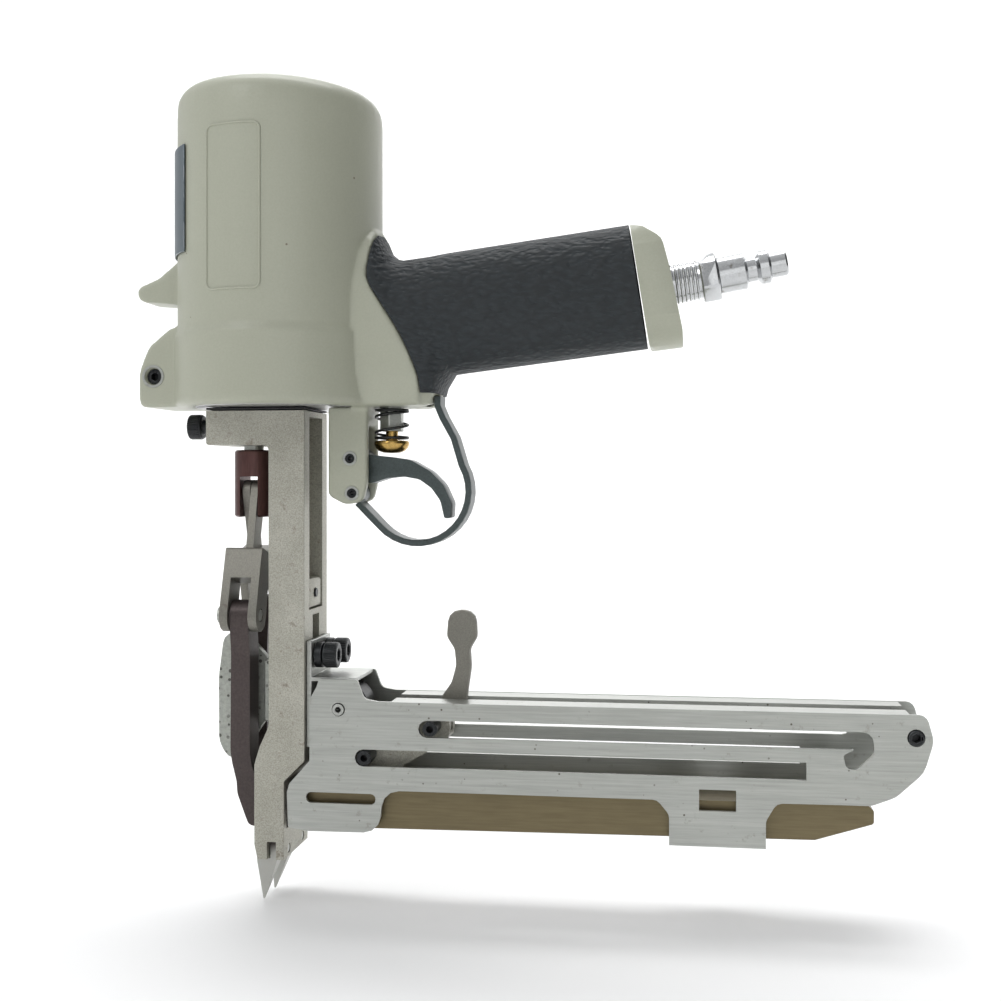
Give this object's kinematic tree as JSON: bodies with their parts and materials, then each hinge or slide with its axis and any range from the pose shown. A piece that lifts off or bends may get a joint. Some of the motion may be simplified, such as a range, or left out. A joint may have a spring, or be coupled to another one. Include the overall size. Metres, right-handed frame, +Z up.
{
  "type": "pneumatic clinching tool",
  "caption": "Hand-held air tool with a vertical barrel, pistol grip, trigger with guard, a nose with two lever-driven jaws and a long sprung clip magazine.",
  "frame": {"origin": "middle of the nose's rear foot, on the nose's bottom face and the tool's middle plane", "axes": "+X towards the handle and magazine, +Y across to the far side, +Z up along the barrel"},
  "size_m": [0.2665, 0.0722, 0.2823],
  "materials": {
    "paint": "satin grey-green paint over cast alloy",
    "grip": "fine wrinkled rubber",
    "chrome": "bright plated steel",
    "cast_steel": "fine-grained cast steel",
    "sheet": "brushed pressed steel",
    "black_steel": "black oxide",
    "dark_paint": "dark grey coated steel",
    "brown_steel": "brown oxide finish",
    "lever_steel": "dark brown hardened steel",
    "bronze": "bronze-coloured plating",
    "brass": "turned brass",
    "spring_steel": "spring steel",
    "zinc": "speckled zinc plating",
    "alloy": "machined alloy",
    "plate": "blank blue-grey plate",
    "seal": "black seal rubber"
  },
  "bodies": {
    "tool_body": {"body_casting": "paint", "handle_end_cap": "paint", "handle_grip": "grip", "air_plug": "chrome", "name_plate": "plate", "flange_set_screw": "black_steel", "body_gasket": "seal", "cylinder_liner": "alloy", "cylinder_base": "alloy", "piston_bumper": "seal", "near_jaw_pin": "sheet", "far_jaw_pin": "sheet", "frame": "cast_steel", "driver_cover": "zinc", "lever_guard_plate": "zinc", "rear_guide_block": "cast_steel", "guide_block_screw": "black_steel", "frame_front_screw": "black_steel", "trigger_pin": "black_steel", "guard_pin": "black_steel", "trigger_guard": "dark_paint", "valve_housing": "sheet", "valve_spring": "spring_steel", "near_magazine_plate": "sheet", "far_magazine_plate": "sheet", "magazine_bracket": "sheet", "near_bracket_screw": "black_steel", "far_bracket_screw": "black_steel", "near_bracket_washer": "black_steel", "far_bracket_washer": "black_steel", "clip_rail": "bronze", "roll_pin": "sheet", "spring_roll": "spring_steel", "magazine_rear_pin": "black_steel"},
    "driver": {"main_piston": "alloy", "piston_ring": "seal", "driver_blade": "sheet"},
    "jaw_rod": {"jaw_piston_rod": "sheet", "jaw_clevis": "brown_steel", "clevis_pin": "black_steel"},
    "near_link_body": {"near_link": "cast_steel", "near_yoke_pin": "sheet"},
    "far_link_body": {"far_link": "cast_steel", "far_yoke_pin": "sheet"},
    "near_lever_body": {"near_jaw_lever": "lever_steel"},
    "far_lever_body": {"far_jaw_lever": "lever_steel"},
    "trigger_body": {"trigger": "dark_paint"},
    "valve_body": {"valve_plunger": "brass"},
    "pusher_body": {"clip_pusher": "cast_steel", "upper_pusher_pin": "black_steel", "lower_pusher_pin": "black_steel", "thumb_lever": "cast_steel"}
  },
  "joints": [
    {"name": "driver_slide", "type": "slide", "parent": "tool_body", "child": "driver", "axis": [0, 0, -1], "range_m": [0, 0.022]},
    {"name": "jaw_rod_slide", "type": "slide", "parent": "tool_body", "child": "jaw_rod", "axis": [0, 0, -1], "range_m": [0, 0.004], "stiffness_N_per_m": 600, "springref_m": -0.008},
    {"name": "near_link_swing", "type": "hinge", "parent": "jaw_rod", "child": "near_link_body", "pos_m": [-0.0133, 0, 0.1243], "axis": [-1, 0, 0], "range_deg": [0, 11.38]},
    {"name": "far_link_swing", "type": "hinge", "parent": "jaw_rod", "child": "far_link_body", "pos_m": [-0.0133, 0, 0.1243], "axis": [1, 0, 0], "range_deg": [0, 11.38]},
    {"name": "near_lever_swing", "type": "hinge", "parent": "tool_body", "child": "near_lever_body", "pos_m": [-0.0032, -0.008, 0.0026], "axis": [1, 0, 0], "range_deg": [0, 5.79]},
    {"name": "far_lever_swing", "type": "hinge", "parent": "tool_body", "child": "far_lever_body", "pos_m": [-0.0032, 0.008, 0.0026], "axis": [-1, 0, 0], "range_deg": [0, 5.79]},
    {"name": "trigger_pull", "type": "hinge", "parent": "tool_body", "child": "trigger_body", "pos_m": [0.0234, 0, 0.1357], "axis": [0, -1, 0], "range_deg": [0, 15], "stiffness_Nm_per_rad": 0.06, "springref_deg": -22.92},
    {"name": "valve_press", "type": "slide", "parent": "tool_body", "child": "valve_body", "axis": [0, 0, 1], "range_m": [0, 0.0024], "deforming": ["valve_spring"]},
    {"name": "pusher_slide", "type": "slide", "parent": "tool_body", "child": "pusher_body", "axis": [1, 0, 0], "range_m": [0, 0.136], "stiffness_N_per_m": 40, "springref_m": -0.15}
  ],
  "couplings": [
    {"joint": "near_link_swing", "follows": "jaw_rod_slide", "rad_per_m": 49.631},
    {"joint": "far_link_swing", "follows": "jaw_rod_slide", "rad_per_m": 49.631},
    {"joint": "near_lever_swing", "follows": "jaw_rod_slide", "rad_per_m": 25.257},
    {"joint": "far_lever_swing", "follows": "jaw_rod_slide", "rad_per_m": 25.257},
    {"joint": "valve_press", "follows": "trigger_pull", "m_per_rad": 0.009167}
  ]
}
